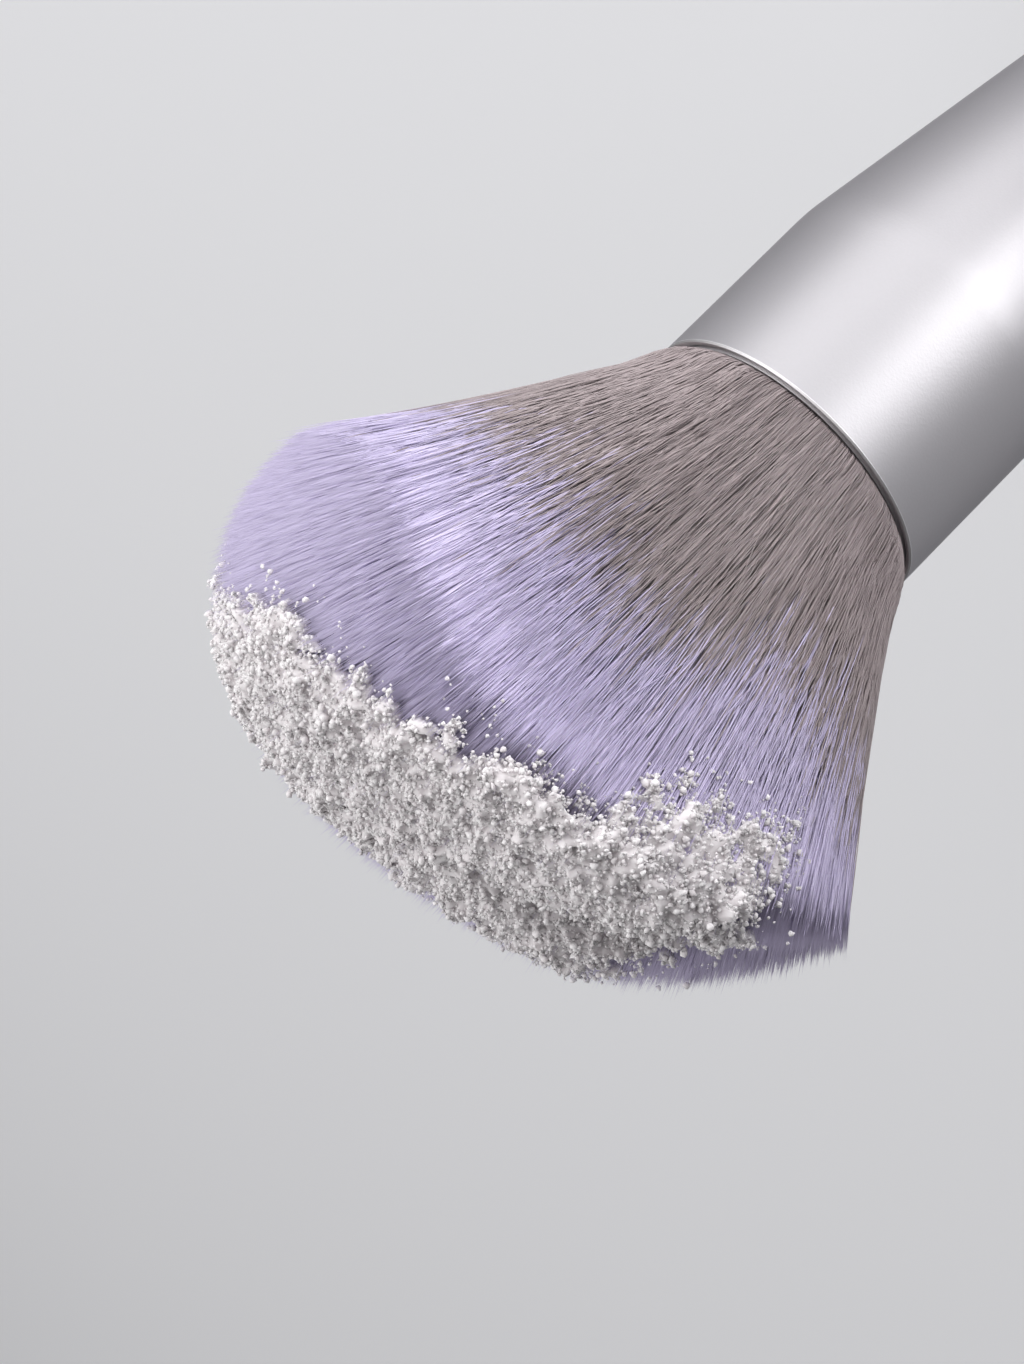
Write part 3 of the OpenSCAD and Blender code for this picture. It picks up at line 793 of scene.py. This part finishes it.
# %% Powder finish
powder_material, tree, shader = new_material("powder")
where = node(tree, "ShaderNodeUVMap", uv_map="OFBake")
split = tree.nodes.new("ShaderNodeSeparateXYZ")
tint = node(tree, "ShaderNodeMix", data_type="RGBA")
tint.inputs["A"].default_value = linear(204, 198, 200)
tint.inputs["B"].default_value = linear(236, 231, 233)
tree.links.new(where.outputs["UV"], split.inputs[0])
tree.links.new(split.outputs["X"], tint.inputs["Factor"])
tree.links.new(tint.outputs["Result"], shader.inputs["Base Color"])
shader.inputs["Roughness"].default_value = 0.9
shader.inputs["Subsurface Weight"].default_value = 0.8
shader.inputs["Subsurface Radius"].default_value = (1.0, 1.0, 1.0)
shader.inputs["Subsurface Scale"].default_value = 0.0008
print("powder finish reads the OFBake map")

# %% [markdown]
# ## Powder crust
# Under the grains the powder has caked between the fibre tips. This is a closed sheet: the grid's cells
# inside the border, lifted by the thickness of the crust, the same cells sunk a little, and walls between
# the two wherever a cell has no neighbour.

# %% Powder crust
CRUST_SINK = 1.1
rows_p, cols_p = depth.shape
has = (depth[:-1] > 0) & (depth[1:] > 0)
has = has & np.roll(has, -1, 1)
upper = under + normal * crust[..., None]
lower = under - normal * CRUST_SINK
r_i, c_i = np.nonzero(has)
ids = np.arange(rows_p * cols_p).reshape(rows_p, cols_p)
shift = rows_p * cols_p
a, b = ids[r_i, c_i], ids[r_i, (c_i + 1) % cols_p]
c, d = ids[r_i + 1, (c_i + 1) % cols_p], ids[r_i + 1, c_i]
quads = [np.stack([d, c, b, a], -1), np.stack([a, b, c, d], -1) + shift]
above = np.concatenate([np.zeros((1, cols_p), bool), has[:-1]])
below = np.concatenate([has[1:], np.zeros((1, cols_p), bool)])
before = np.roll(has, 1, 1)
after = np.roll(has, -1, 1)
for beside, one, two in ((above, b, a), (below, d, c), (before, a, d), (after, c, b)):
    edge = ~beside[r_i, c_i]
    quads.append(np.stack([two[edge], one[edge], one[edge] + shift, two[edge] + shift], -1))
quads = np.concatenate(quads)
used, quads = np.unique(quads, return_inverse=True)
quads = quads.reshape(-1, 4)
both = np.concatenate([upper.reshape(-1, 3), lower.reshape(-1, 3)])[used]
tone_k = np.tile(np.clip(0.5 + 0.2 * ripples(6, 0.9, under), 0.02, 0.98).ravel(), 2)[used]
turn_k = np.tile(np.broadcast_to(np.linspace(0.02, 0.98, cols_p), (rows_p, cols_p)).ravel(), 2)[used]
crust_piece = make_piece("powder_crust", (both + np.array([0, 0, RIM_Z])) * MM, quads,
                         np.stack([tone_k, turn_k], -1), powder_material)
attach(crust_piece, "root")
print("powder crust", len(quads), "cells")

# %% [markdown]
# ## Grains on the crust
# Over the crust lie thousands of grains, and a few lie beyond its border. A grain is a ball of twenty faces
# with its corners pushed in and out. Grains fall evenly over the area of the crust, so the choice of a cell
# goes by the area of the cell.

# %% Grains on the crust
GRAIN_COUNT = 22000
GRAIN_RADIUS, GRAIN_LEAST, GRAIN_MOST = 0.125, 0.05, 0.36
BEYOND, BEYOND_FADE, BEYOND_REACH = 0.40, 0.8, 3.5
golden = (1 + 5 ** 0.5) / 2
ball = np.array([[-1, golden, 0], [1, golden, 0], [-1, -golden, 0], [1, -golden, 0],
                 [0, -1, golden], [0, 1, golden], [0, -1, -golden], [0, 1, -golden],
                 [golden, 0, -1], [golden, 0, 1], [-golden, 0, -1], [-golden, 0, 1]])
ball = ball / np.hypot(1, golden)
ball_faces = np.array([[0, 11, 5], [0, 5, 1], [0, 1, 7], [0, 7, 10], [0, 10, 11], [1, 5, 9], [5, 11, 4],
                       [11, 10, 2], [10, 7, 6], [7, 1, 8], [3, 9, 4], [3, 4, 2], [3, 2, 6], [3, 6, 8],
                       [3, 8, 9], [4, 9, 5], [2, 4, 11], [6, 2, 10], [8, 6, 7], [9, 8, 1]])
grain_draw = np.random.default_rng(77)
beyond = BEYOND * np.exp(np.minimum(depth, 0) / BEYOND_FADE)
chance = area * np.where(depth > 0, 1.0, beyond) * (depth > -BEYOND_REACH)
chance = (chance / chance.sum()).ravel()
cell = grain_draw.choice(len(chance), GRAIN_COUNT, p=chance)
grain_size = np.exp(grain_draw.normal(np.log(GRAIN_RADIUS), 0.45, GRAIN_COUNT)).clip(GRAIN_LEAST, GRAIN_MOST)
spot = under.reshape(-1, 3)[cell]
spot = spot + across.reshape(-1, 3)[cell] * grain_draw.uniform(-0.5, 0.5, (GRAIN_COUNT, 1))
spot = spot + along_row.reshape(-1, 3)[cell] * grain_draw.uniform(-0.5, 0.5, (GRAIN_COUNT, 1))
rise = np.maximum(crust.ravel()[cell], 0.0) + grain_size * grain_draw.uniform(0.0, 1.1, GRAIN_COUNT)
spot = spot + normal.reshape(-1, 3)[cell] * rise[:, None]
turn = np.linalg.qr(grain_draw.normal(0, 1, (GRAIN_COUNT, 3, 3)))[0]
turn = turn * np.sign(np.linalg.det(turn))[:, None, None]
lump = ball[None] * (1 + grain_draw.normal(0, 0.3, (GRAIN_COUNT, 12, 1)).clip(-0.45, 0.45))
grains = np.einsum("nij,nkj->nki", turn, lump) * grain_size[:, None, None] + spot[:, None]
corner = np.arange(12)
grain_u = grain_draw.uniform(0.02, 0.94, GRAIN_COUNT)[:, None] + 0.01 * (corner % 3)[None]
grain_v = grain_draw.uniform(0.02, 0.94, GRAIN_COUNT)[:, None] + 0.01 * (corner // 3)[None]
for part, m in enumerate(np.array_split(np.arange(GRAIN_COUNT), 4)):
    faces = (ball_faces[None] + (np.arange(len(m)) * 12)[:, None, None]).reshape(-1, 3)
    corners = ((grains[m] + np.array([0, 0, RIM_Z])) * MM).reshape(-1, 3)
    piece = make_piece("powder_dusting_%d" % (part + 1), corners, faces,
                       np.stack([grain_u[m], grain_v[m]], -1).reshape(-1, 2), powder_material)
    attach(piece, "root")
print("grains", GRAIN_COUNT)
